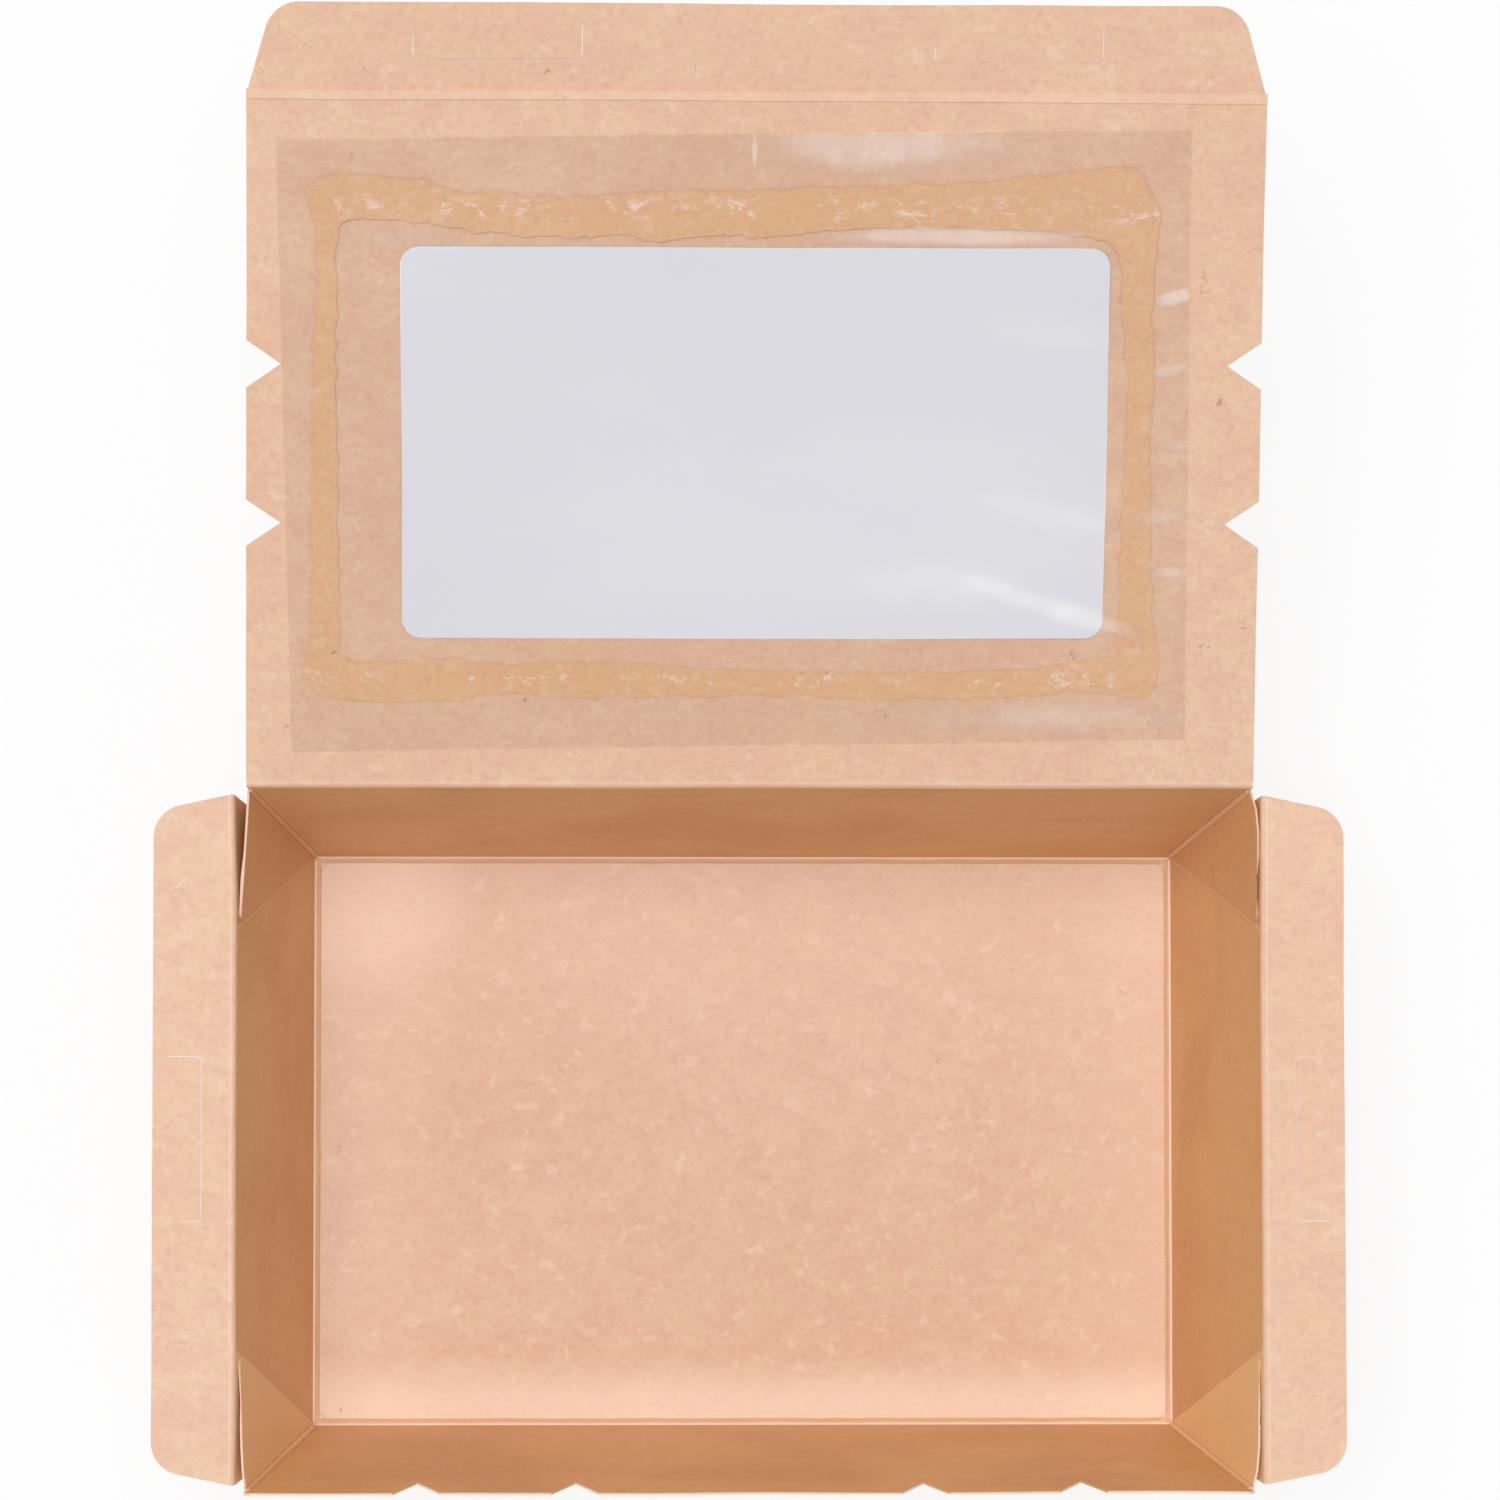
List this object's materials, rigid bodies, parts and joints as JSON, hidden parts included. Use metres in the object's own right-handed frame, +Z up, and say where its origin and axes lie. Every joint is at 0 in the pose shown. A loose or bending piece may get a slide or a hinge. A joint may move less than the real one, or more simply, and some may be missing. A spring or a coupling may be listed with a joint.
{
  "type": "window meal box",
  "caption": "Folded kraft card meal box: sloping tray, hinged lid with a clear film window, tuck flap and two folding end flaps.",
  "frame": {"origin": "middle of the tray's underside", "axes": "+X along the lid's hinge, +Y from the tray to the opened lid, +Z up"},
  "size_m": [0.2388, 0.2907, 0.0983],
  "materials": {
    "kraft_tray": "matte",
    "kraft_lid": "matte",
    "kraft_tuck": "matte",
    "kraft_end_flap": "matte",
    "clear_film": "gloss",
    "dried_glue": "satin"
  },
  "bodies": {
    "tray": {"tray": "kraft_tray"},
    "lid": {"lid_panel": "kraft_lid", "window_film": "clear_film", "film_glue": "dried_glue"},
    "tuck": {"tuck_flap": "kraft_tuck"},
    "left_flap": {"left_end_flap": "kraft_end_flap"},
    "right_flap": {"right_end_flap": "kraft_end_flap"}
  },
  "joints": [
    {"name": "lid_hinge", "type": "hinge", "parent": "tray", "child": "lid", "pos_m": [0, 0.0707, 0.045], "axis": [1, 0, 0], "range_deg": [-35.5, 160.4]},
    {"name": "tuck_fold", "type": "hinge", "parent": "lid", "child": "tuck", "pos_m": [0, 0.2027, 0.09224], "axis": [1, 0, 0], "range_deg": [0, 105]},
    {"name": "left_flap_fold", "type": "hinge", "parent": "tray", "child": "left_flap", "pos_m": [-0.1032, 0, 0.0439], "axis": [0, 1, 0], "range_deg": [-40, 180]},
    {"name": "right_flap_fold", "type": "hinge", "parent": "tray", "child": "right_flap", "pos_m": [0.1032, 0, 0.0439], "axis": [0, -1, 0], "range_deg": [-40, 180]}
  ]
}
